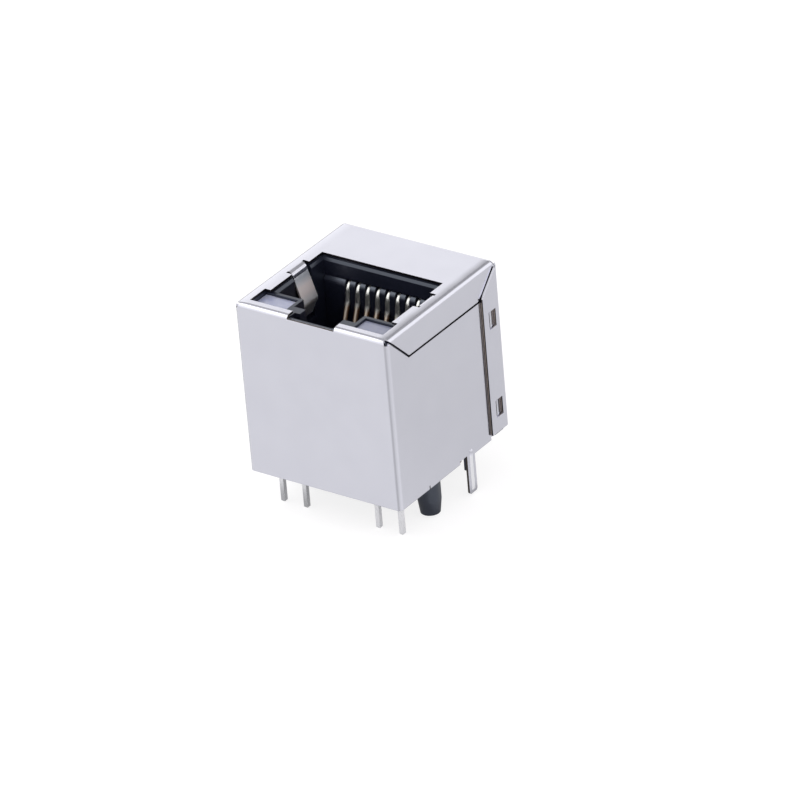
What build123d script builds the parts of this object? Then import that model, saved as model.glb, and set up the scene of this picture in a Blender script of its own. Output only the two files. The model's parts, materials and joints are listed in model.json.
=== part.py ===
from build123d import *
import os
from math import atan, cos, degrees, radians, sin

# Top-entry shielded board jack for an 8-contact modular plug, with two indicator lamps.
# Millimetres. +Z points away from the board, the lamps are at the front (-Y).
# The origin is on the board's surface, midway between the two locating pegs.

# Shield: one folded sheet
sheet = 0.2
shell_width = 15.5
shell_depth = 16.0
shell_height = 16.1
bend_radius = 0.45
foot_height = 0.1
peg_from_front = 5.95

# Walls around the plug cavity
side_wall = 1.75
front_wall = 0.5
rear_wall = 1.3
floor_thickness = 2.85

# Latch room in front of the cavity, and the cavity's mouth
latch_slot_width = 3.85
latch_slot_depth = 1.65
latch_step_width = 6.2
latch_step_depth = 1.35
latch_relief_width = 4.9
latch_relief_depth = 0.8
catch_thickness = 2.3
catch_below_top = 0.4
mouth_margin = 0.15
mouth_chamfer = 0.25
mouth_step = 0.15
ledge_width = 0.25

# Spring fingers of the shield
finger_before_contacts = 2.73
finger_width = 2.0
finger_relief = 0.26
finger_root_reach = 0.6
finger_bend_radius = 0.4
finger_angle = 18.5
finger_drop = 2.7
finger_return_angle = 25
finger_return = 1.5
finger_play = 0.25

# Opening around the lamps and the latch
front_strip = 0.97
lamp_window_depth = 2.15
lamp_window_from_side = 1.02
latch_cut_width = 4.75
latch_cut_drop = 0.33

# Flaps at the top's sides
flap_height = 2.65
flap_front = 3.0
flap_from_rear = 2.7
seam = 0.17
corner_relief = 0.2

# Back panel and its flanges
flange_gap = 0.03
flange_depth = 2.53
flange_bottom = 0.45
flange_clearance = 0.12
side_panel_gap = 0.5
window_from_rear = 1.8
window_depth = 1.0
window_height = 1.65
lower_window = 1.85
upper_window_drop = 5.8
tab_play = 0.12
tab_rise = 0.2

# Ground tabs, their rib and gusset
ground_tab_behind_peg = 3.88
ground_tab_width = 1.12
ground_tab_reach = 3.35
ground_tab_round = 0.25
rib_width = 0.45
rib_rise = 0.12
rib_above_edge = 0.65
gusset_reach = 0.2
gusset_drop = 1.15

# Lips folded under the housing
lip_before_peg = 1.6
lip_behind_peg = 2.85
lip_width = 1.0
relief_width = 0.12
relief_height = 0.3

# Housing
shell_play = 0.05
housing_underside = 0.35
foot_size = 1.2
finger_pocket_depth = 5.2
finger_pocket_wall = 0.35

# Locating pegs
peg_from_side = 1.4
peg_radius = 1.03
peg_pad = 2.2
peg_pad_play = 0.1
peg_straight = 2.0
peg_length = 3.25
peg_tip_radius = 0.87

# Lamps
lamp_from_side = 2.68
lens_width = 3.2
lens_depth = 2.35
lens_from_front = 0.8
lens_below_rim = 0.2
lens_height = 6.0
lens_play = 0.05
rim_below_housing = 0.1
lead_from_side = 2.85
lead_set_back = 0.2
lead_pitch = 2.36
lead_size = 0.4
lead_play = 0.05
lead_head = 2.4
lead_head_height = 0.5
die_size = 0.3
pin_reach = 3.6
pin_point = 0.1

# Contacts
contact_count = 8
contact_pitch = 1.02
wire_diameter = 0.45
contact_play = 0.03
contact_bend = 0.7
contact_top_below_roof = 0.2
contact_proud = 0.1
neck_angle = 10
neck_length = 0.85
beam_angle = 22
beam_end_above_floor = 4.3
tip_length = 1.6
tail_row_gap = 2.54
tail_bend = 0.3
tail_jog_height = 1.9

# Contact carrier and tail guide
carrier_depth = 4.5
carrier_below_top = 1.9
carrier_play = 0.05
carrier_stem_depth = 2.05
carrier_head_height = 3.2
carrier_bottom = 2.2
carrier_nose = 0.65
comb_depth = 2.6
guide_thickness = 1.0
guide_hole_play = 0.06

# Levels and faces worked out from the sizes above
front_face = -peg_from_front
rear_face = front_face + shell_depth
side_face = shell_width / 2
shell_bottom = foot_height
shell_top = shell_bottom + shell_height
middle_y = front_face + shell_depth / 2
housing_top = shell_top - sheet - shell_play
rim_top = housing_top - rim_below_housing
latch_slot_front = front_face + front_wall
latch_slot_rear = latch_slot_front + latch_slot_depth
cavity_front = latch_slot_rear + latch_step_depth
carrier_rear = rear_face - rear_wall
carrier_front = carrier_rear - carrier_depth
carrier_roof = shell_top - carrier_below_top
cavity_width = shell_width - 2 * side_wall
cavity_rear = carrier_front + ledge_width
cavity_floor = housing_underside + floor_thickness
mouth_half = cavity_width / 2 + mouth_margin
mouth_rear = cavity_rear + mouth_margin
finger_y = carrier_front - finger_before_contacts
flap_bottom = shell_top - flap_height
flap_rear = rear_face - flap_from_rear
flange_face = side_face + flange_gap + sheet
flange_front = rear_face - flange_depth
side_panel_end = rear_face - side_panel_gap
window_front = rear_face - window_from_rear
window_bottoms = (shell_bottom + lower_window, shell_top - upper_window_drop)
peg_x = side_face - peg_from_side
lens_front = front_face + lens_from_front
lens_middle = lens_front + lens_depth / 2
lens_top = rim_top - lens_below_rim
lens_bottom = lens_top - lens_height
lamp_x = side_face - lamp_from_side
lead_x = side_face - lead_from_side
lead_y = lens_middle + lead_set_back
wire_radius = wire_diameter / 2
riser_y = carrier_front - contact_proud + wire_radius + 2 * contact_bend
bend_y = riser_y - contact_bend
bend_z = carrier_roof - contact_top_below_roof - wire_radius - contact_bend
neck_top = bend_z + contact_bend * sin(radians(neck_angle))
beam_top = neck_top - neck_length * cos(radians(neck_angle))
beam_length = (beam_top - cavity_floor - beam_end_above_floor) / cos(radians(beam_angle))

os.makedirs("parts", exist_ok=True)


def save(piece, name):
    """Label one finished piece and write it to its own file."""
    piece.part.label = name
    export_step(piece.part, f"parts/{name}.step")


# Back panel: a U in plan, whose flanges lap over the side panels
with BuildPart() as back_wrap:
    with BuildSketch(Plane.XY.offset(shell_bottom + flange_bottom)):
        with BuildLine():
            Polyline(
                (flange_face - sheet / 2, flange_front),
                (flange_face - sheet / 2, rear_face - sheet / 2),
                (sheet / 2 - flange_face, rear_face - sheet / 2),
                (sheet / 2 - flange_face, flange_front),
            )
        trace(line_width=sheet)
    extrude(amount=shell_height - flange_bottom - bend_radius)
    uprights = back_wrap.edges().filter_by(Axis.Z).group_by(Axis.Y)
    fillet(uprights[-1], bend_radius)
    fillet(uprights[-2], bend_radius - sheet)
    # The flanges' tops are mitred towards the rear corners.
    with BuildSketch(Plane.YZ):
        with BuildLine():
            Polyline(
                (flange_front - sheet, flap_bottom + flange_clearance - sheet),
                (rear_face - bend_radius, shell_top - bend_radius + flange_clearance - sheet),
                (rear_face - bend_radius, shell_top),
                (flange_front - sheet, shell_top),
                close=True,
            )
        make_face()
    extrude(amount=shell_width, both=True, mode=Mode.SUBTRACT)
    # Two latch windows in each flange
    for window_bottom in window_bottoms:
        with BuildSketch(Plane.YZ):
            with Locations((window_front, window_bottom)):
                Rectangle(window_depth, window_height, align=Align.MIN)
        extrude(amount=shell_width, both=True, mode=Mode.SUBTRACT)

# One spring finger: over its bend, down into the cavity and back towards the wall
with BuildPart() as finger:
    with BuildSketch(Plane.XZ.offset(-finger_y)):
        with BuildLine():
            root = Line(
                (side_face - bend_radius, shell_top - sheet / 2),
                (mouth_half + finger_root_reach, shell_top - sheet / 2),
            )
            over = JernArc(root @ 1, (-1, 0), finger_bend_radius, 90 - finger_angle)
            leaf = Line(over @ 1, over @ 1 + over % 1 * finger_drop)
            turn = JernArc(leaf @ 1, leaf % 1, finger_bend_radius, finger_angle + finger_return_angle)
            Line(turn @ 1, turn @ 1 + turn % 1 * finger_return)
        trace(line_width=sheet)
    extrude(amount=finger_width / 2, both=True)

# Shield: the box of front, top, sides and back, then its seams, openings and tabs
with BuildPart() as shield:
    with BuildSketch(Plane.XY.offset(shell_bottom)):
        with Locations((0, middle_y)):
            Rectangle(shell_width, shell_depth)
    extrude(amount=shell_height)
    front_uprights = shield.edges().filter_by(Axis.Z).group_by(Axis.Y)[0]
    fillet(front_uprights + shield.faces().sort_by(Axis.Z)[-1].edges(), bend_radius)
    offset(amount=-sheet, openings=shield.faces().sort_by(Axis.Z)[0])
    split(bisect_by=Plane.YZ, keep=Keep.TOP)

    # Plug opening, finger reliefs and lamp window in the top
    with BuildSketch(Plane.XY.offset(shell_top)):
        with Locations((0, mouth_rear)):
            Rectangle(mouth_half, mouth_rear - front_face - front_strip, align=(Align.MIN, Align.MAX))
        with Locations((0, front_face + front_strip)):
            Rectangle(side_face - lamp_window_from_side, lamp_window_depth, align=Align.MIN)
        with Locations((0, finger_y)):
            Rectangle(
                mouth_half + finger_root_reach,
                finger_width + 2 * finger_relief,
                align=(Align.MIN, Align.CENTER),
            )
    extrude(amount=-bend_radius, mode=Mode.SUBTRACT)
    with BuildSketch(Plane.XY.offset(shell_top - latch_cut_drop)):
        with Locations((0, front_face)):
            Rectangle(latch_cut_width / 2, front_strip, align=Align.MIN)
    extrude(amount=latch_cut_drop, mode=Mode.SUBTRACT)

    # Seam between the flap and the side panel, and the end of the side panel
    with BuildSketch(Plane.YZ.offset(side_face - bend_radius)):
        with BuildLine():
            Polyline(
                (front_face + flap_front - flap_height - seam, shell_top),
                (front_face + flap_front - seam / 2, flap_bottom - seam / 2),
                (flap_rear, flap_bottom - seam / 2),
                (rear_face - bend_radius, shell_top - bend_radius),
            )
        trace(line_width=seam)
        with BuildLine():
            Polyline(
                (flap_rear, flap_bottom - seam),
                (rear_face - bend_radius, shell_top - bend_radius - seam / 2),
                (rear_face, shell_top - bend_radius - seam / 2),
                (rear_face, shell_bottom),
                (side_panel_end, shell_bottom),
                (side_panel_end, flap_bottom - seam),
                close=True,
            )
        make_face()
    extrude(amount=bend_radius, mode=Mode.SUBTRACT)
    for corner_y in (front_face + corner_relief, rear_face - corner_relief):
        with BuildSketch(Plane.XY.offset(shell_top - bend_radius)):
            with Locations((side_face - corner_relief, corner_y)):
                Circle(corner_relief)
        extrude(amount=bend_radius, mode=Mode.SUBTRACT)

    # Lower edge: relief before the lip, notch from the lip to the ground tab, stepped rear end
    with BuildSketch(Plane.YZ.offset(side_face - bend_radius)):
        with Locations((-lip_before_peg - relief_width, shell_bottom)):
            Rectangle(relief_width, relief_height, align=Align.MIN)
        with Locations((lip_behind_peg, shell_bottom)):
            Rectangle(ground_tab_behind_peg - lip_behind_peg, relief_height, align=Align.MIN)
        with Locations((flange_front, shell_bottom)):
            Rectangle(flange_depth, relief_height, align=Align.MIN)
    extrude(amount=bend_radius, mode=Mode.SUBTRACT)

    # Lip folded under the housing, cut out around the peg's pad
    with BuildSketch(Plane.XZ.offset(-lip_behind_peg)):
        with BuildLine():
            FilletPolyline(
                (side_face - sheet / 2, shell_bottom + 2 * bend_radius),
                (side_face - sheet / 2, shell_bottom + sheet / 2),
                (side_face - lip_width, shell_bottom + sheet / 2),
                radius=sheet,
            )
        trace(line_width=sheet)
    extrude(amount=lip_before_peg + lip_behind_peg)
    with BuildSketch(Plane.XY.offset(shell_bottom - sheet)):
        with Locations((peg_x, 0)):
            Rectangle(peg_pad + 2 * peg_pad_play, peg_pad + 2 * peg_pad_play)
    extrude(amount=2 * sheet, mode=Mode.SUBTRACT)

    # Ground tab with rounded corners, its gusset and its pressed rib
    with BuildSketch(Plane.YZ.offset(side_face - sheet)) as ground_tab:
        with Locations((ground_tab_behind_peg, shell_bottom + relief_height)):
            Rectangle(
                ground_tab_width,
                ground_tab_reach + shell_bottom + relief_height,
                align=(Align.MIN, Align.MAX),
            )
        fillet(ground_tab.vertices().group_by(Axis.Y)[0], ground_tab_round)
    extrude(amount=sheet)
    with BuildSketch(Plane.XZ.offset(-ground_tab_behind_peg)):
        with Locations((side_face - sheet, shell_bottom)):
            Rectangle(gusset_reach, gusset_drop, align=Align.MAX)
    extrude(amount=-sheet)
    with BuildSketch(Plane.YZ.offset(side_face)):
        with Locations((ground_tab_behind_peg + ground_tab_width / 2, shell_bottom + rib_above_edge)):
            Rectangle(
                rib_width,
                ground_tab_reach + shell_bottom + rib_above_edge - ground_tab_round,
                align=(Align.CENTER, Align.MAX),
            )
    extrude(amount=rib_rise, taper=45)

    # Back panel, latch tabs in its windows, spring finger
    add(back_wrap.part)
    split(bisect_by=Plane.YZ, keep=Keep.TOP)
    for window_bottom in window_bottoms:
        with BuildSketch(Plane.XY.offset(window_bottom + tab_play)):
            with BuildLine():
                Polyline(
                    (side_face - sheet / 2, window_front + tab_play),
                    (side_face + tab_rise, window_front + tab_play),
                    (side_face, window_front + window_depth - tab_play),
                    (side_face - sheet / 2, window_front + window_depth - tab_play),
                    close=True,
                )
            make_face()
        extrude(amount=window_height - 2 * tab_play)
    add(finger.part)
    mirror(about=Plane.YZ)

save(shield, "shield")

# Housing: a block with feet and pegs, hollowed from above and below
with BuildPart() as housing:
    inner_side = side_face - sheet - shell_play
    inner_front = front_face + sheet + shell_play
    inner_rear = rear_face - sheet - shell_play
    with BuildSketch(Plane.XY.offset(housing_underside)):
        with Locations((0, (inner_front + inner_rear) / 2)):
            Rectangle(2 * inner_side, inner_rear - inner_front)
    extrude(amount=housing_top - housing_underside)
    fillet(housing.edges().filter_by(Axis.Z), bend_radius - sheet)
    chamfer(housing.faces().sort_by(Axis.Z)[-1].edges(), bend_radius - sheet)

    # Feet at the four corners
    with BuildSketch():
        with Locations((0, (inner_front + inner_rear) / 2)):
            with GridLocations(
                2 * inner_side - foot_size - 2 * shell_play,
                inner_rear - inner_front - foot_size - 2 * shell_play,
                2,
                2,
            ):
                Rectangle(foot_size, foot_size)
    extrude(amount=housing_underside)

    # Locating pegs: a square pad that seats on the board, then a straight and a tapered stretch
    with BuildSketch():
        with GridLocations(2 * peg_x, 0, 2, 1):
            Rectangle(peg_pad, peg_pad)
    extrude(amount=housing_underside)
    with BuildSketch(Plane.XZ):
        with BuildLine():
            Polyline(
                (peg_x, 0),
                (peg_x + peg_radius, 0),
                (peg_x + peg_radius, -peg_straight),
                (peg_x + peg_tip_radius, -peg_length),
                (peg_x, -peg_length),
                close=True,
            )
        make_face()
    revolve(axis=Axis((peg_x, 0, 0), (0, 0, 1)))
    mirror(about=Plane.YZ)

    # Plug cavity with the latch step and slot, deep behind the catch
    with BuildSketch(Plane.XY.offset(cavity_floor)):
        with Locations((0, cavity_front)):
            Rectangle(cavity_width, cavity_rear - cavity_front, align=(Align.CENTER, Align.MIN))
        with Locations((0, latch_slot_rear)):
            Rectangle(latch_step_width, latch_step_depth, align=(Align.CENTER, Align.MIN))
        with Locations((0, latch_slot_front)):
            Rectangle(latch_slot_width, latch_slot_depth, align=(Align.CENTER, Align.MIN))
            Rectangle(latch_relief_width, latch_relief_depth, align=(Align.CENTER, Align.MIN))
    extrude(amount=shell_top - cavity_floor, mode=Mode.SUBTRACT)
    with BuildSketch(Plane.XY.offset(cavity_floor)):
        with Locations((0, latch_slot_front + shell_play)):
            Rectangle(latch_step_width, latch_slot_depth, align=(Align.CENTER, Align.MIN))
    extrude(amount=shell_top - catch_thickness - catch_below_top - cavity_floor, mode=Mode.SUBTRACT)

    # Chamfered mouth around the plug part of the cavity
    with BuildSketch(Plane.XY.offset(housing_top)):
        with Locations((0, cavity_front)):
            Rectangle(2 * mouth_half, mouth_rear - cavity_front, align=(Align.CENTER, Align.MIN))
    extrude(amount=-mouth_step, mode=Mode.SUBTRACT)
    with BuildSketch(Plane.XY.offset(housing_top - mouth_step)):
        with Locations((0, cavity_front)):
            Rectangle(2 * mouth_half, mouth_rear - cavity_front, align=(Align.CENTER, Align.MIN))
    mouth_taper = degrees(atan(mouth_margin / mouth_chamfer))
    extrude(amount=-mouth_chamfer, taper=mouth_taper, mode=Mode.SUBTRACT)

    # Lowered rim around the lamps and the latch
    with BuildSketch(Plane.XY.offset(rim_top)):
        with Locations((0, inner_front)):
            Rectangle(
                2 * (side_face - lamp_window_from_side),
                cavity_front - inner_front,
                align=(Align.CENTER, Align.MIN),
            )
    extrude(amount=shell_top - rim_top, mode=Mode.SUBTRACT)
    with BuildSketch(Plane.XY.offset(shell_top - latch_cut_drop - shell_play)):
        with Locations((0, inner_front)):
            Rectangle(latch_slot_width, front_wall, align=(Align.CENTER, Align.MIN))
    extrude(amount=latch_cut_drop, mode=Mode.SUBTRACT)

    for side in (-1, 1):
        # Lamp pocket, and the two holes for its leads
        with BuildSketch(Plane.XY.offset(lens_bottom)):
            with Locations((side * lamp_x, lens_middle)):
                Rectangle(lens_width + 2 * lens_play, lens_depth + 2 * lens_play)
        extrude(amount=shell_top - lens_bottom, mode=Mode.SUBTRACT)
        with BuildSketch():
            with Locations((side * lead_x, lead_y)):
                with GridLocations(lead_pitch, 0, 2, 1):
                    Rectangle(lead_size + 2 * lead_play, lead_size + 2 * lead_play)
        extrude(amount=lens_bottom, mode=Mode.SUBTRACT)
        # Pocket that the spring finger moves into
        with BuildSketch(Plane.XY.offset(shell_top - finger_pocket_depth)):
            with Locations((side * (inner_side - finger_pocket_wall), finger_y)):
                Rectangle(
                    inner_side - finger_pocket_wall - cavity_width / 2,
                    finger_width + 2 * finger_play,
                    align=(Align.MAX if side > 0 else Align.MIN, Align.CENTER),
                )
        extrude(amount=finger_pocket_depth, mode=Mode.SUBTRACT)

    # Pocket for the contact carrier, open to the cavity and below
    with BuildSketch():
        with Locations((0, carrier_front)):
            Rectangle(cavity_width, carrier_depth + carrier_play, align=(Align.CENTER, Align.MIN))
    extrude(amount=carrier_roof, mode=Mode.SUBTRACT)

save(housing, "housing")

# Contact carrier: a stem with a deeper head, whose front edge is the rounded comb
contact_xs = [contact_pitch * (i - (contact_count - 1) / 2) for i in range(contact_count)]
with BuildPart() as contact_carrier:
    carrier_width = cavity_width - 2 * carrier_play
    carrier_top = carrier_roof - carrier_play
    with BuildSketch(Plane.YZ) as carrier_outline:
        with BuildLine():
            Polyline(
                (carrier_front, carrier_bottom),
                (carrier_front + carrier_stem_depth, carrier_bottom),
                (carrier_front + carrier_stem_depth, carrier_top - carrier_head_height),
                (carrier_rear, carrier_top - carrier_head_height),
                (carrier_rear, carrier_top),
                (carrier_front, carrier_top),
                close=True,
            )
        make_face()
        fillet(carrier_outline.vertices().group_by(Axis.X)[0].sort_by(Axis.Y)[-1], carrier_nose)
    extrude(amount=carrier_width / 2, both=True)
    for contact_x in contact_xs:
        # Riser slot, and the comb slot in front of it with a rounded core
        slot_width = wire_diameter + 2 * contact_play
        with BuildSketch(Plane.XY.offset(carrier_bottom)):
            with Locations((contact_x, riser_y)):
                Rectangle(slot_width, slot_width)
        extrude(amount=carrier_roof, mode=Mode.SUBTRACT)
        core_radius = contact_bend - wire_radius - contact_play
        with BuildSketch(Plane.YZ.offset(contact_x - slot_width / 2)):
            with Locations((riser_y, carrier_roof)):
                Rectangle(
                    riser_y - carrier_front + contact_proud,
                    comb_depth,
                    align=Align.MAX,
                )
            with Locations((bend_y, bend_z)):
                Circle(core_radius, mode=Mode.SUBTRACT)
            with Locations((bend_y, bend_z)):
                Rectangle(
                    2 * core_radius,
                    comb_depth,
                    align=(Align.CENTER, Align.MAX),
                    mode=Mode.SUBTRACT,
                )
        extrude(amount=slot_width, mode=Mode.SUBTRACT)

save(contact_carrier, "contact_carrier")

# Tail guide: the plate that spaces the two rows of tails
with BuildPart() as tail_guide:
    with BuildSketch(Plane.XY.offset(housing_underside)):
        with Locations((0, carrier_front + carrier_play)):
            Rectangle(
                cavity_width - 2 * carrier_play,
                carrier_depth - carrier_play,
                align=(Align.CENTER, Align.MIN),
            )
        for index, contact_x in enumerate(contact_xs):
            with Locations((contact_x, riser_y + tail_row_gap * (index % 2))):
                Circle(wire_radius + guide_hole_play, mode=Mode.SUBTRACT)
    extrude(amount=guide_thickness)

save(tail_guide, "tail_guide")

# Contacts of round wire: tail, riser, bend over the comb, steep neck, sloping beam and upright tip
for index, contact_x in enumerate(contact_xs):
    tail_y = riser_y + tail_row_gap * (index % 2)
    with BuildPart() as contact:
        with BuildLine(Plane.YZ.offset(contact_x)) as wire:
            if index % 2 == 0:
                Line((tail_y, -pin_reach), (riser_y, bend_z))
            else:
                FilletPolyline(
                    (tail_y, -pin_reach),
                    (tail_y, tail_jog_height),
                    (riser_y, tail_jog_height),
                    (riser_y, bend_z),
                    radius=tail_bend,
                )
            over = CenterArc((bend_y, bend_z), contact_bend, 0, 180 - neck_angle)
            neck = Line(over @ 1, over @ 1 + over % 1 * neck_length)
            knee = JernArc(neck @ 1, neck % 1, contact_bend, neck_angle - beam_angle)
            beam = Line(knee @ 1, knee @ 1 + knee % 1 * beam_length)
            tip_turn = JernArc(beam @ 1, beam % 1, contact_bend, beam_angle)
            Line(tip_turn @ 1, tip_turn @ 1 + tip_turn % 1 * tip_length)
        with BuildSketch(Plane.XY.offset(-pin_reach)):
            with Locations((contact_x, tail_y)):
                Circle(wire_radius)
        sweep(path=wire.wires()[0])
        chamfer(contact.faces().sort_by(Axis.Z)[0].edges(), pin_point)
    save(contact, f"contact_{index + 1}")


def make_lamp(side, name):
    """Write one lamp: the lens with its two leads moulded in, and the chip on the cathode."""
    x = side * lead_x
    head_top = lens_bottom + lead_head
    # The cathode is the inner lead, nearer to the latch.
    cathode_x = x - side * lead_pitch / 2
    anode_x = x + side * lead_pitch / 2

    with BuildPart() as cathode:
        with BuildSketch(Plane.XY.offset(-pin_reach)):
            with Locations((cathode_x, lead_y)):
                Rectangle(lead_size, lead_size)
        extrude(amount=head_top + pin_reach)
        with BuildSketch(Plane.XY.offset(head_top - lead_head_height)):
            with Locations(((cathode_x + x) / 2, lead_y)):
                Rectangle(lead_pitch / 2 + lead_size, lead_size)
        extrude(amount=lead_head_height)
        chamfer(cathode.faces().sort_by(Axis.Z)[0].edges(), pin_point)

    with BuildPart() as anode:
        with BuildSketch(Plane.XY.offset(-pin_reach)):
            with Locations((anode_x, lead_y)):
                Rectangle(lead_size, lead_size)
        extrude(amount=head_top + pin_reach)
        chamfer(anode.faces().sort_by(Axis.Z)[0].edges(), pin_point)

    with BuildPart() as die:
        with BuildSketch(Plane.XY.offset(head_top)):
            with Locations((x, lead_y)):
                Rectangle(die_size, die_size)
        extrude(amount=die_size)

    with BuildPart() as lens:
        with BuildSketch(Plane.XY.offset(lens_bottom)):
            with Locations((side * lamp_x, lens_middle)):
                Rectangle(lens_width, lens_depth)
        extrude(amount=lens_height)
        add(cathode.part, mode=Mode.SUBTRACT)
        add(anode.part, mode=Mode.SUBTRACT)
        add(die.part, mode=Mode.SUBTRACT)

    save(lens, f"led_{name}_lens")
    save(cathode, f"led_{name}_cathode")
    save(anode, f"led_{name}_anode")
    save(die, f"led_{name}_die")


make_lamp(-1, "left")
make_lamp(1, "right")
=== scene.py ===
import json
from math import cos, radians, sin

import bpy
from mathutils import Matrix, Vector


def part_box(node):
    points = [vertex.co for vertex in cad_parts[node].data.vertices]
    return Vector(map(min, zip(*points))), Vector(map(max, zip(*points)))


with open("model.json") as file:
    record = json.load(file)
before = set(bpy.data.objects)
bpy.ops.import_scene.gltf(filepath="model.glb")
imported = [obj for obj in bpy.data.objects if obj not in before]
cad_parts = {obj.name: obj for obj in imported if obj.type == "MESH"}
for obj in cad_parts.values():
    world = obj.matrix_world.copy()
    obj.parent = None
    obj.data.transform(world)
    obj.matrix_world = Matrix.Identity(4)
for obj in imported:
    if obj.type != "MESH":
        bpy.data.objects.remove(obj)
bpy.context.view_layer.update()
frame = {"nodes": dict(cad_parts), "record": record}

MM = 0.001
WHITE = (1, 1, 1, 1)

# Camera: the point it looks at, its angles round the part and its lens
AIM = Vector((2.562, 2.114, 5.399)) * MM
CAMERA_DISTANCE = 615.12 * MM
CAMERA_AZIMUTH = radians(36.97)
CAMERA_ELEVATION = radians(29.14)
CAMERA_ROLL = radians(-4.97)
CAMERA_LENS = 330

# Lights: the softbox in front on the left, and the lamp a little above its middle, in metres
SOFTBOX_AZIMUTH = radians(-54)
SOFTBOX_ELEVATION = radians(45)
LAMP_ELEVATION = radians(50)
LAMP_DISTANCE = 0.5
LAMP_SIZE = 0.3
LAMP_POWER = 0.3
LAMP_AIM = Vector((0, 0, 8)) * MM

# Floor under the ends of the leads, in metres
FLOOR_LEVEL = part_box("led_left_anode")[0].z
FLOOR_HALF = 1.5

# Places on the part in millimetres, the shield's outer faces as the frame has them
shield_low, shield_high = (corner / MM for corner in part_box("shield"))
FRONT = shield_low.y
REAR = shield_high.y
TOP = shield_high.z
SHEET = 0.2
SLACK = 0.01
SIDE = 7.75
FLAT_SIDE = SIDE - 0.5
FLAT_FRONT = FRONT + 0.5
FLAT_REAR = REAR - 0.4
FOLD_END = TOP - 0.5
PANEL_TOP = TOP - 0.2
LOWER_EDGE = 0.6
BACK_EDGE = 1
FLAP_LOW = TOP - 2.9
FLANGE_FRONT = REAR - 2.6
WINDOW_MIDDLE = REAR - 1.2
LATCH_SIDE = 3
LATCH_REAR = FRONT + 0.9
FINGER_SIDE = 6.3
FINGER_LOW = 10
FINGER_TOP = TOP - 0.6
COMB_TOP = 14.3
CONTACT_PITCH = 1.02
RIB_FRONT = 4.2
RIB_MIDDLE = 4.52


def direction(azimuth, elevation):
    """Unit vector that points back from a thing to where it is looked at or lit from."""
    return Vector((
        sin(azimuth) * cos(elevation),
        -cos(azimuth) * cos(elevation),
        sin(elevation),
    ))


def add_camera():
    back = direction(CAMERA_AZIMUTH, CAMERA_ELEVATION)
    level = Vector((cos(CAMERA_AZIMUTH), sin(CAMERA_AZIMUTH), 0))
    roll = Matrix.Rotation(CAMERA_ROLL, 3, back)
    right = roll @ level
    up = roll @ back.cross(level)
    data = bpy.data.cameras.new("camera")
    data.lens = CAMERA_LENS
    data.clip_start = 0.01
    data.clip_end = 10
    camera = bpy.data.objects.new("camera", data)
    bpy.context.scene.collection.objects.link(camera)
    turn = Matrix((right, up, back)).transposed().to_4x4()
    camera.matrix_world = Matrix.Translation(AIM + back * CAMERA_DISTANCE) @ turn
    bpy.context.scene.camera = camera


class Nodes:
    """A node tree with short calls for the nodes that the materials share."""

    def __init__(self, tree):
        self.tree = tree
        tree.nodes.clear()

    def add(self, kind, **sockets):
        node = self.tree.nodes.new("ShaderNode" + kind)
        for name, value in sockets.items():
            self.set(node, name, value)
        return node

    def set(self, node, name, value):
        socket = node.inputs[name]
        if isinstance(value, bpy.types.NodeSocket):
            self.tree.links.new(value, socket)
        else:
            socket.default_value = value

    def math(self, operation, *values):
        node = self.add("Math")
        node.operation = operation
        for index, value in enumerate(values):
            self.set(node, index, value)
        return node.outputs[0]

    def plus(self, first, second):
        return self.math("ADD", first, second)

    def minus(self, first, second):
        return self.math("SUBTRACT", first, second)

    def times(self, first, second):
        return self.math("MULTIPLY", first, second)

    def absolute(self, value):
        return self.math("ABSOLUTE", value)

    def above(self, value, limit):
        return self.math("GREATER_THAN", value, limit)

    def below(self, value, limit):
        return self.math("LESS_THAN", value, limit)

    def between(self, value, low, high):
        return self.times(self.above(value, low), self.below(value, high))

    def every(self, *masks):
        result = masks[0]
        for mask in masks[1:]:
            result = self.times(result, mask)
        return result

    def either(self, *masks):
        result = masks[0]
        for mask in masks[1:]:
            result = self.math("MAXIMUM", result, mask)
        return result

    def remap(self, value, low, high, to_low, to_high):
        node = self.add("MapRange")
        node.clamp = True
        for index, item in enumerate((value, low, high, to_low, to_high)):
            self.set(node, index, item)
        return node.outputs[0]

    def scale(self, vector, factors):
        node = self.add("VectorMath")
        node.operation = "MULTIPLY"
        self.set(node, 0, vector)
        self.set(node, 1, factors)
        return node.outputs[0]

    def dot(self, first, second):
        node = self.add("VectorMath")
        node.operation = "DOT_PRODUCT"
        self.set(node, 0, first)
        self.set(node, 1, second)
        return node.outputs["Value"]

    def split(self, vector):
        return self.add("SeparateXYZ", Vector=vector).outputs

    def place(self):
        """The shaded point's place in the part's frame, in millimetres."""
        return self.scale(self.add("TexCoord").outputs["Object"], (1 / MM, 1 / MM, 1 / MM))

    def noise(self, vector, scale, detail=2.0, roughness=0.5):
        node = self.add("TexNoise", Vector=vector, Scale=scale, Detail=detail, Roughness=roughness)
        return node.outputs["Fac"]

    def mix(self, factor, first, second):
        node = self.add("Mix")
        node.data_type = "RGBA"
        self.set(node, 0, factor)
        self.set(node, 6, first)
        self.set(node, 7, second)
        return node.outputs[2]

    def bump(self, height, strength, distance, normal=None):
        node = self.add("Bump", Height=height, Strength=strength, Distance=distance)
        if normal is not None:
            self.set(node, "Normal", normal)
        return node.outputs[0]

    def blend(self, factor, first, second):
        node = self.add("MixShader")
        self.set(node, 0, factor)
        self.set(node, 1, first)
        self.set(node, 2, second)
        return node.outputs[0]

    def glowing_paper(self, colour, glow):
        """Paper that takes the part's shadow and glows by itself."""
        node = self.add("AddShader")
        self.set(node, 0, self.add("BsdfDiffuse", Color=colour).outputs[0])
        self.set(node, 1, self.add("Emission", Color=WHITE, Strength=glow).outputs[0])
        return node.outputs[0]


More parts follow.
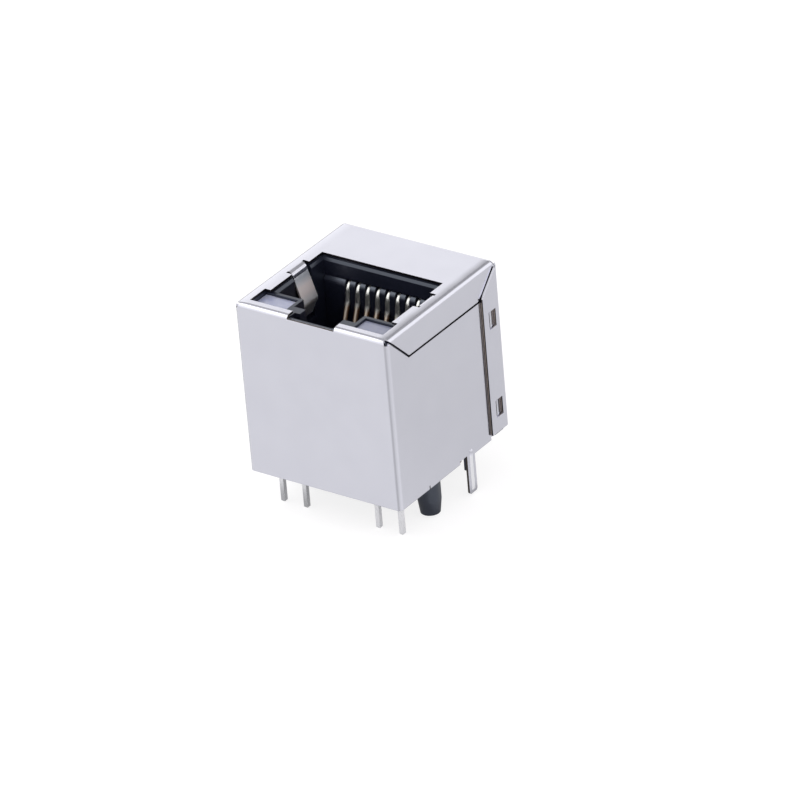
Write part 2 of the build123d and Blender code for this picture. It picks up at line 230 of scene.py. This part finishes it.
def new_material(name):
    material = bpy.data.materials.new(name)
    material.use_nodes = True
    nodes = Nodes(material.node_tree)
    shader = nodes.add("BsdfPrincipled")
    output = nodes.add("OutputMaterial")
    nodes.set(output, "Surface", shader.outputs[0])
    return material, nodes, shader, nodes.place()


def panel_cuts(nodes, x, y, z, facing):
    """Masks of the cut edges round the opening, on the front panel, at the latch and under the back."""
    nx, ny, nz = facing
    along_x = nodes.above(nx, 0.8)
    along_y = nodes.above(ny, 0.9)
    along_z = nodes.above(nz, 0.9)
    opening = nodes.every(
        nodes.either(along_x, along_y),
        nodes.above(z, TOP - SHEET - SLACK),
        nodes.below(x, FLAT_SIDE),
        nodes.between(y, FLAT_FRONT, FLAT_REAR),
    )
    panel = nodes.every(along_z, nodes.below(y, FRONT + SHEET + SLACK), nodes.below(z, PANEL_TOP))
    latch = nodes.every(along_x, nodes.below(y, LATCH_REAR), nodes.below(x, LATCH_SIDE))
    back = nodes.every(along_z, nodes.above(y, REAR - SHEET - SLACK), nodes.below(z, BACK_EDGE))
    return opening, panel, latch, back


def side_cuts(nodes, x, y, z, facing, rounded):
    """Masks of the cut edges at the sides: those along the flaps' seams, and those that face along Y."""
    nx, ny, nz = facing
    at_side = nodes.every(
        nodes.above(x, SIDE - SHEET - SLACK),
        nodes.between(y, FLAT_FRONT, FLAT_REAR),
    )
    at_flap = nodes.every(at_side, nodes.between(z, FLAP_LOW, FOLD_END))
    seam_depth = nodes.remap(z, TOP - 2.6, TOP - 2.2, SIDE + 0.13, SIDE + 0.06)
    gap = nodes.every(at_flap, nodes.below(nx, 0.3), nodes.below(x, seam_depth))
    turned = nodes.dot(rounded, nodes.add("NewGeometry").outputs["Normal"])
    rim = nodes.every(at_flap, nodes.below(turned, 0.98), nodes.below(y, FLANGE_FRONT))
    flange = nodes.every(at_side, nodes.above(ny, 0.9), nodes.below(z, FOLD_END))
    return nodes.either(gap, rim), flange


def cut_edges(nodes, place, rounded):
    """Three masks of the sheet: bare cut edges, how much painted shade darkens these, and the painted
    light that makes the depth of the windows pale.
    """
    x, y, z = nodes.split(place)
    x = nodes.absolute(x)
    normal = nodes.split(nodes.add("TexCoord").outputs["Normal"])
    facing = [nodes.absolute(part) for part in normal]
    opening, panel, latch, back = panel_cuts(nodes, x, y, z, facing)
    seam, flange = side_cuts(nodes, x, y, z, facing, rounded)
    # Painted shade: the edges round the opening and in the seams are painted dark, the flange's cut edges
    # dark towards their outer side, and the front panel's and the low relief's cut edges at 0.7 of that.
    flange_shade_start = nodes.remap(z, 0, TOP - 3, SIDE + 0.09, SIDE + 0.14)
    flange_shade = nodes.every(flange, nodes.above(x, flange_shade_start))
    low = nodes.every(flange, nodes.below(z, LOWER_EDGE), nodes.below(y, REAR - 4))
    half_shade = nodes.times(nodes.either(panel, low), 0.7)
    dark = nodes.either(opening, seam, flange_shade, half_shade)
    # Painted light: the inner part of the windows' depth is painted pale pink, and the outer part takes
    # the painted shade above.
    in_window = nodes.above(y, WINDOW_MIDDLE)
    pale = nodes.every(flange, in_window, nodes.remap(x, SIDE - 0.04, SIDE + 0.06, 1, 0))
    return nodes.either(opening, seam, flange, panel, latch, back), dark, pale


def finger_leaf(nodes, place):
    """Two masks of the spring fingers: where they go down into the opening, and their middle band, which
    is rougher and has a painted sheen.
    """
    x, y, z = nodes.split(place)
    leaf = nodes.every(
        nodes.below(nodes.absolute(x), FINGER_SIDE),
        nodes.between(y, FRONT + 2, REAR - 1),
        nodes.between(z, FINGER_LOW, FINGER_TOP),
    )
    upper = nodes.remap(z, TOP - 0.9, TOP - 1.6, 0, 1)
    lower = nodes.remap(z, TOP - 3, TOP - 2.2, 0.2, 1)
    return leaf, nodes.every(leaf, upper, lower)


def crown(nodes, place):
    """Height in millimetres of the sheet's soft fall towards the folds at the top's sides."""
    x, y, z = nodes.split(place)
    beyond = nodes.math("MAXIMUM", nodes.minus(nodes.absolute(x), SIDE - 1.25), 0)
    return nodes.times(nodes.times(beyond, beyond), -0.1)


def rib_highlight(nodes, place):
    """Painted highlight: 1 on the front slope of the ground tabs' ribs, and below 0 where these end
    above, a painted shade.
    """
    x, y, z = nodes.split(place)
    proud = nodes.above(nodes.absolute(x), SIDE + 0.005)
    return nodes.every(proud, nodes.between(y, RIB_FRONT, RIB_MIDDLE), nodes.remap(z, 0.2, 0.7, 1, -0.6))


def nickel_sheet():
    """Satin nickel plate with bare steel at the cut edges, painted shade on some of these and painted
    light in the windows' depth, painted highlights on the ground tabs' ribs, and rougher spring fingers
    with a painted sheen.
    """
    material, nodes, shader, place = new_material("nickel_sheet")
    streaks = nodes.noise(nodes.scale(place, (9, 9, 0.5)), 1, detail=3)
    clouds = nodes.noise(place, 0.35)
    fine = nodes.noise(place, 22)
    rounded = nodes.add("Bevel", Radius=0.05 * MM)
    rounded.samples = 4
    edge, dark, pale = cut_edges(nodes, place, rounded.outputs[0])
    leaf, sheen_band = finger_leaf(nodes, place)

    cloudy = nodes.remap(clouds, 0.3, 0.7, 0, 1)
    plate = nodes.mix(cloudy, (0.69, 0.69, 0.765, 1), (0.71, 0.71, 0.785, 1))
    # Painted highlight on the ribs' front slope, and painted shade where the ribs end above
    plate = nodes.scale(plate, nodes.math("MULTIPLY_ADD", rib_highlight(nodes, place), 0.38, 1))
    # Painted sheen: the fingers' leaves are lighter than the sheet, and pinker in their middle band
    spring = nodes.mix(sheen_band, (0.90, 0.93, 1.0, 1), (1.0, 0.92, 0.92, 1))
    plate = nodes.mix(leaf, plate, spring)
    steel = nodes.mix(fine, (0.20, 0.17, 0.145, 1), (0.36, 0.31, 0.27, 1))
    # Painted shade on the darkened cut edges, then painted light in the windows' depth
    steel = nodes.mix(dark, steel, (0.035, 0.032, 0.038, 1))
    steel = nodes.mix(pale, steel, (0.85, 0.69, 0.65, 1))
    nodes.set(shader, "Base Color", nodes.mix(edge, plate, steel))

    shader.inputs["Metallic"].default_value = 1
    satin = nodes.remap(streaks, 0.3, 0.7, 0.14, 0.2)
    worn = nodes.times(leaf, nodes.remap(sheen_band, 0, 1, 0.4, 0.6))
    nodes.set(shader, "Roughness", nodes.either(satin, nodes.times(edge, 0.48), worn))
    fall = nodes.bump(crown(nodes, place), 1, MM, rounded.outputs[0])
    waves = nodes.bump(nodes.noise(place, 0.22, detail=1), 0.5, 0.1 * MM, fall)
    nodes.set(shader, "Normal", nodes.bump(streaks, 0.12, 0.01 * MM, waves))
    return material


def black_plastic():
    material, nodes, shader, place = new_material("black_plastic")
    grain = nodes.noise(place, 14, detail=4, roughness=0.6)
    flow = nodes.noise(nodes.scale(place, (0.6, 0.6, 0.3)), 1, detail=3)
    colour = nodes.mix(flow, (0.007, 0.008, 0.016, 1), (0.011, 0.012, 0.024, 1))
    nodes.set(shader, "Base Color", colour)
    nodes.set(shader, "Roughness", nodes.remap(grain, 0.3, 0.7, 0.26, 0.38))
    shader.inputs["IOR"].default_value = 1.55
    shader.inputs["Specular IOR Level"].default_value = 0.9
    shader.inputs["Specular Tint"].default_value = (0.78, 0.86, 1.0, 1)
    nodes.set(shader, "Normal", nodes.bump(grain, 0.2, 0.02 * MM))
    return material


def gold_contact():
    """Tinned wire over the comb, gold-plated below it, with a painted highlight down each wire's middle
    and painted shade at its sides.
    """
    material, nodes, shader, place = new_material("gold_contact")
    x, y, z = nodes.split(place)
    rolled = nodes.noise(nodes.scale(place, (8, 1.2, 1.2)), 1)
    tin = nodes.mix(rolled, (0.84, 0.84, 0.80, 1), (0.92, 0.92, 0.88, 1))
    across = nodes.minus(nodes.math("FRACT", nodes.math("DIVIDE", x, CONTACT_PITCH)), 0.54)
    # Painted highlight across each wire: cream in its middle, and painted shade in brown at its sides
    wire_highlight = nodes.remap(nodes.absolute(across), 0.05, 0.13, 1, 0)
    gold = nodes.mix(wire_highlight, (0.34, 0.21, 0.14, 1), (1.0, 0.88, 0.74, 1))
    plated = nodes.remap(z, COMB_TOP - 1.95, COMB_TOP - 2.4, 0, 1)
    nodes.set(shader, "Base Color", nodes.mix(plated, tin, gold))
    shader.inputs["Metallic"].default_value = 1
    shine = nodes.remap(rolled, 0.3, 0.7, 0.3, 0.4)
    worn = nodes.remap(wire_highlight, 0, 1, 0.5, 0.6)
    nodes.set(shader, "Roughness", nodes.remap(plated, 0, 1, shine, worn))
    return material


def lamp_lens():
    """Milky epoxy, with painted shade that makes the right lamp darker."""
    material, nodes, shader, place = new_material("lamp_lens")
    x, y, z = nodes.split(place)
    milk = nodes.noise(place, 0.9, detail=3)
    cloudy = nodes.remap(milk, 0.3, 0.7, 0, 1)
    colour = nodes.mix(cloudy, (0.42, 0.44, 0.62, 1), (0.52, 0.54, 0.70, 1))
    # Painted shade: the colour darkens from the left lamp to the right one
    nodes.set(shader, "Base Color", nodes.scale(colour, nodes.remap(x, -3, 3, 0.9, 0.62)))
    nodes.set(shader, "Roughness", nodes.remap(milk, 0.3, 0.7, 0.16, 0.26))
    shader.inputs["IOR"].default_value = 1.52
    shader.inputs["Subsurface Weight"].default_value = 0.3
    shader.inputs["Subsurface Radius"].default_value = (0.6, 0.7, 1.0)
    shader.inputs["Subsurface Scale"].default_value = MM
    nodes.set(shader, "Normal", nodes.bump(nodes.noise(place, 3), 0.1, 0.03 * MM))
    return material


def tinned_lead():
    """Tin on the four leads, bright on the left pair and matt on the right one."""
    material, nodes, shader, place = new_material("tinned_lead")
    x, y, z = nodes.split(place)
    drawn = nodes.noise(nodes.scale(place, (14, 14, 1.2)), 1, detail=3)
    colour = nodes.mix(drawn, (0.80, 0.80, 0.84, 1), (0.92, 0.92, 0.95, 1))
    nodes.set(shader, "Base Color", colour)
    nodes.set(shader, "Metallic", nodes.remap(x, 0, 2, 1, 0.15))
    nodes.set(shader, "Roughness", nodes.remap(drawn, 0.3, 0.7, 0.22, 0.36))
    nodes.set(shader, "Normal", nodes.bump(drawn, 0.2, 0.02 * MM))
    return material


def lamp_chip():
    material, nodes, shader, place = new_material("lamp_chip")
    dice = nodes.noise(place, 12)
    nodes.set(shader, "Base Color", nodes.mix(dice, (0.25, 0.25, 0.27, 1), (0.38, 0.37, 0.36, 1)))
    nodes.set(shader, "Roughness", nodes.remap(dice, 0.3, 0.7, 0.35, 0.55))
    return material


MATERIALS = {
    "nickel_sheet": nickel_sheet,
    "black_plastic": black_plastic,
    "gold_contact": gold_contact,
    "lamp_lens": lamp_lens,
    "tinned_lead": tinned_lead,
    "lamp_chip": lamp_chip,
}


def dress_nodes():
    """Give each CAD node the material of its slot in the record."""
    slots = {part["node"]: part["material_slot"] for part in frame["record"]["subparts"]}
    made = {name: make() for name, make in MATERIALS.items()}
    for name, node in frame["nodes"].items():
        for slot in node.material_slots:
            slot.material = made[slots[name]]


def reflected_floor(nodes, x, y):
    """Glow of the paper as the part mirrors it: brighter towards the front left, with a dim and a bright
    wedge that start below the front right edge, and dim under the part."""
    across = nodes.minus(x, SIDE)
    along = nodes.minus(y, FRONT)
    away = nodes.math("SQRT", nodes.plus(nodes.times(across, across), nodes.times(along, along)))

    def wedge(degrees_round, narrow, wide):
        turn = radians(degrees_round)
        reach = nodes.plus(nodes.times(across, cos(turn)), nodes.times(along, sin(turn)))
        lean = nodes.math("DIVIDE", reach, nodes.plus(away, 0.01))
        return nodes.remap(lean, cos(radians(wide)), cos(radians(narrow)), 0, 1)

    towards_left = nodes.plus(nodes.times(x, -0.6), nodes.times(y, -0.8))
    level = nodes.remap(towards_left, -25, 12, 0.555, 0.68)
    level = nodes.math("MULTIPLY_ADD", wedge(-57, 8, 34), -0.26, level)
    level = nodes.math("MULTIPLY_ADD", wedge(18, 6, 28), 0.11, level)
    middle = (FRONT + REAR) / 2
    beside = nodes.minus(nodes.absolute(x), SIDE)
    ahead = nodes.minus(nodes.absolute(nodes.minus(y, middle)), (REAR - FRONT) / 2)
    outside = nodes.math("MAXIMUM", nodes.math("MAXIMUM", beside, ahead), 0)
    return nodes.times(level, nodes.remap(outside, 0, 1.2, 0.4, 1))


def floor_material():
    """White paper for the camera, the dimmer reflected floor for the part, and clear from below."""
    material = bpy.data.materials.new("floor")
    material.use_nodes = True
    nodes = Nodes(material.node_tree)
    x, y, z = nodes.split(nodes.place())
    mirrored = nodes.glowing_paper((0.22, 0.22, 0.22, 1), reflected_floor(nodes, x, y))
    paper = nodes.glowing_paper((0.31, 0.30, 0.31, 1), 0.80)
    lit = nodes.blend(nodes.add("LightPath").outputs["Is Camera Ray"], mirrored, paper)
    clear = nodes.add("BsdfTransparent").outputs[0]
    surface = nodes.blend(nodes.add("NewGeometry").outputs["Backfacing"], lit, clear)
    nodes.set(nodes.add("OutputMaterial"), "Surface", surface)
    return material


def add_floor():
    mesh = bpy.data.meshes.new("floor")
    corners = [
        (-FLOOR_HALF, -FLOOR_HALF, 0),
        (FLOOR_HALF, -FLOOR_HALF, 0),
        (FLOOR_HALF, FLOOR_HALF, 0),
        (-FLOOR_HALF, FLOOR_HALF, 0),
    ]
    mesh.from_pydata(corners, [], [(0, 1, 2, 3)])
    mesh.materials.append(floor_material())
    floor = bpy.data.objects.new("floor", mesh)
    floor.location.z = FLOOR_LEVEL
    bpy.context.scene.collection.objects.link(floor)


def studio_glow(nodes):
    """White walls, brightest at the back on the left, with a dark band above them at the back, a grey
    ceiling and a large softbox in front on the left."""
    gaze = nodes.add("TexCoord").outputs["Generated"]
    x, y, z = nodes.split(gaze)
    low_edge = nodes.remap(z, 0.52, 0.65, 0, 1)
    high_edge = nodes.remap(z, 0.70, 0.76, 1, 0.35)
    band = nodes.every(low_edge, high_edge, nodes.remap(y, -0.1, 0.2, 0, 1))
    walls = nodes.remap(x, -0.2, 0.5, 1.13, 1.25)
    back_left = nodes.every(nodes.remap(x, -0.57, -0.75, 0, 1), nodes.remap(y, 0.5, 0.65, 0, 1))
    walls = nodes.math("MULTIPLY_ADD", back_left, 0.2, walls)
    walls = nodes.times(walls, nodes.remap(band, 0, 1, 1, 0.27))
    ceiling = nodes.remap(z, 0.7, 0.9, 1, 0.55)
    towards_box = nodes.dot(gaze, direction(SOFTBOX_AZIMUTH, SOFTBOX_ELEVATION))
    softbox = nodes.remap(towards_box, 0.80, 0.92, 0, 0.22)
    return nodes.plus(nodes.times(walls, ceiling), softbox)


def add_world():
    """The studio for light and reflections, and plain white for the camera."""
    world = bpy.data.worlds.new("studio")
    world.use_nodes = True
    bpy.context.scene.world = world
    nodes = Nodes(world.node_tree)
    studio = nodes.add("Background", Color=WHITE, Strength=studio_glow(nodes)).outputs[0]
    white = nodes.add("Background", Color=WHITE, Strength=1.0).outputs[0]
    seen = nodes.blend(nodes.add("LightPath").outputs["Is Camera Ray"], studio, white)
    nodes.set(nodes.add("OutputWorld"), "Surface", seen)


def add_lamp():
    data = bpy.data.lights.new("key", "AREA")
    data.shape = "DISK"
    data.size = LAMP_SIZE
    data.energy = LAMP_POWER
    lamp = bpy.data.objects.new("key", data)
    bpy.context.scene.collection.objects.link(lamp)
    towards = direction(SOFTBOX_AZIMUTH, LAMP_ELEVATION)
    lamp.location = LAMP_AIM + towards * LAMP_DISTANCE
    lamp.rotation_mode = "QUATERNION"
    lamp.rotation_quaternion = towards.to_track_quat("Z", "Y")


bpy.context.scene.view_settings.view_transform = "Standard"
add_camera()
dress_nodes()
add_floor()
add_world()
add_lamp()
